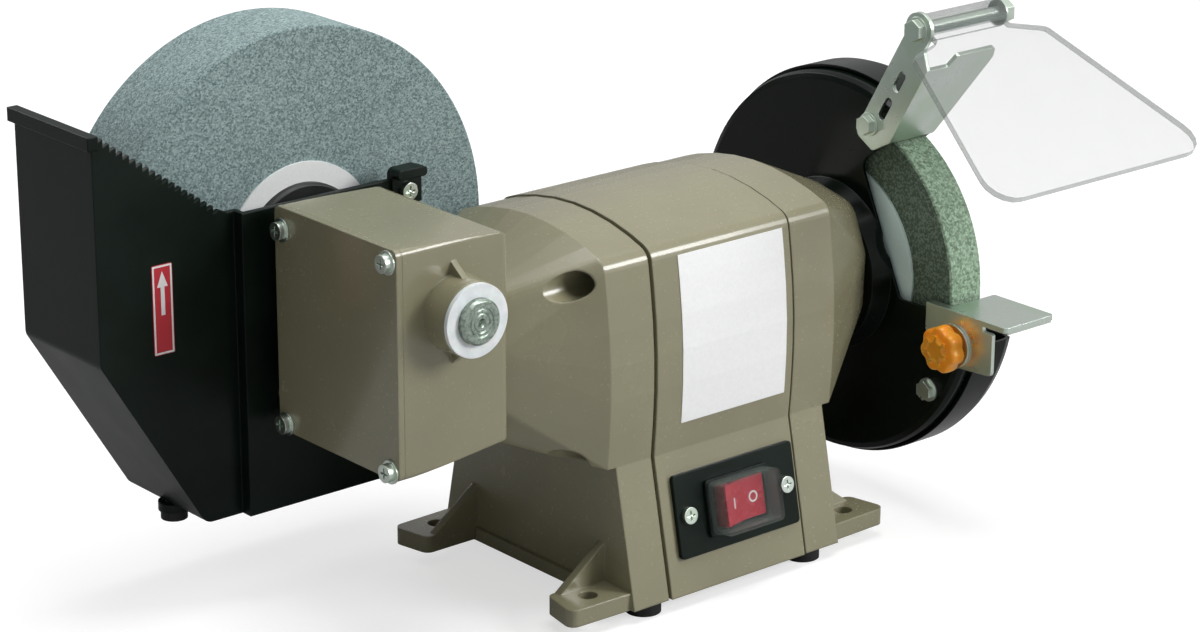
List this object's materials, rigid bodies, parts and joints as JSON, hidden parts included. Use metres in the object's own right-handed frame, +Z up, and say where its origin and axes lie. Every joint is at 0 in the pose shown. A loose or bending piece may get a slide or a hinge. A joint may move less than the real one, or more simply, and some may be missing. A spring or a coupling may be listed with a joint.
{
  "type": "bench grinder",
  "caption": "Bench grinder with an induction motor in a cast housing, a guarded dry wheel with eye shield and tool rest, and a slow wet wheel in a water tank behind a worm gearbox.",
  "frame": {"origin": "centre of the four bench bolt holes, on the underside of the housing", "axes": "+X along the motor shaft towards the dry wheel, +Y to the back, +Z up"},
  "size_m": [0.4566, 0.2744, 0.2534],
  "materials": {
    "housing_paint": "semi-gloss taupe enamel",
    "black_steel": "satin black enamel on sheet steel",
    "black_plastic": "satin black moulded plastic",
    "zinc": "bright zinc plating",
    "steel": "turned steel",
    "laminated_steel": "stacked electrical steel sheet",
    "copper": "enamelled copper winding",
    "bronze": "cast bronze",
    "wet_stone": "fine grey-blue vitrified grit",
    "dry_stone": "coarse grey-green vitrified grit",
    "white_paper": "plain pressed paper",
    "blue_paper": "plain pressed paper",
    "label_white": "blank satin label film",
    "label_red": "printed label film",
    "rubber": "moulded rubber",
    "white_plastic": "white acetal",
    "orange_plastic": "orange moulded plastic",
    "red_plastic": "red moulded plastic",
    "clear_plastic": "clear polycarbonate",
    "capacitor_can": "drawn aluminium can"
  },
  "bodies": {
    "chassis": {"motor_shell": "housing_paint", "left_end_bell": "housing_paint", "right_end_bell": "housing_paint", "base_plate": "black_steel", "rubber_feet": "rubber", "foot_screws": "zinc", "tie_bolts": "zinc", "front_label": "label_white", "switch_plate": "black_plastic", "switch_screws": "zinc", "switch_body": "black_plastic", "switch_cover": "clear_plastic", "capacitor": "capacitor_can", "capacitor_clip": "zinc", "cable_gland": "black_plastic", "stator_core": "laminated_steel", "stator_windings": "copper", "left_bearing": "steel", "right_bearing": "steel", "shaft_seal": "rubber", "gearbox_housing": "housing_paint", "gearbox_cover": "housing_paint", "gearbox_cover_screws": "zinc", "gearbox_mount_screws": "zinc", "worm_end_bush": "bronze", "front_axle_bush": "white_plastic", "rear_axle_bush": "white_plastic", "water_tank": "black_plastic", "tank_screws": "zinc", "tank_ear_screw": "zinc", "drain_plug": "rubber", "tank_arrow_label": "label_red", "guard_inner": "black_steel", "guard_cover": "black_steel", "guard_spacers": "zinc", "guard_bolts": "zinc", "guard_mount_screws": "zinc", "arrestor_bolt": "zinc", "knob_stud": "zinc"},
    "rotor": {"rotor_core": "laminated_steel", "motor_shaft": "steel", "worm": "steel", "dry_wheel": "dry_stone", "dry_blotters": "blue_paper", "dry_inner_flange": "zinc", "dry_outer_flange": "zinc", "dry_nut": "zinc"},
    "wet_spindle": {"wet_axle": "steel", "worm_wheel": "bronze", "wet_wheel": "wet_stone", "wet_blotters": "white_paper", "wet_inner_flange": "black_steel", "wet_outer_flange": "black_steel", "wet_nut": "zinc"},
    "rocker": {"switch_rocker": "red_plastic"},
    "arrestor": {"spark_arrestor": "zinc", "shield_hinge_bolt": "zinc"},
    "shield": {"eye_shield": "clear_plastic"},
    "rest": {"tool_rest": "zinc"},
    "knob": {"star_knob": "orange_plastic"}
  },
  "joints": [
    {"name": "wet_spin", "type": "hinge", "parent": "chassis", "child": "wet_spindle", "pos_m": [-0.13725, 0.09, 0.1474], "axis": [0, 1, 0], "continuous": true},
    {"name": "motor_spin", "type": "hinge", "parent": "chassis", "child": "rotor", "pos_m": [0, 0, 0.1067], "axis": [1, 0, 0], "continuous": true},
    {"name": "rocker_press", "type": "hinge", "parent": "chassis", "child": "rocker", "pos_m": [0.0023, -0.0583, 0.0342], "axis": [0, 0.202, 0.9794], "range_deg": [-18, 0]},
    {"name": "arrestor_slide", "type": "slide", "parent": "chassis", "child": "arrestor", "axis": [0, -0.5015, 0.8652], "range_m": [0, 0.004]},
    {"name": "shield_tilt", "type": "hinge", "parent": "arrestor", "child": "shield", "pos_m": [0.14, -0.05499, 0.23001], "axis": [1, 0, 0], "range_deg": [-85, 10]},
    {"name": "rest_slide", "type": "slide", "parent": "chassis", "child": "rest", "axis": [0, 1, 0], "range_m": [-0.008, 0.002]},
    {"name": "knob_turn", "type": "hinge", "parent": "chassis", "child": "knob", "pos_m": [0.107, -0.0835, 0.088], "axis": [1, 0, 0], "range_deg": [0, 360]}
  ],
  "couplings": [
    {"joint": "motor_spin", "follows": "wet_spin", "ratio": 22}
  ]
}
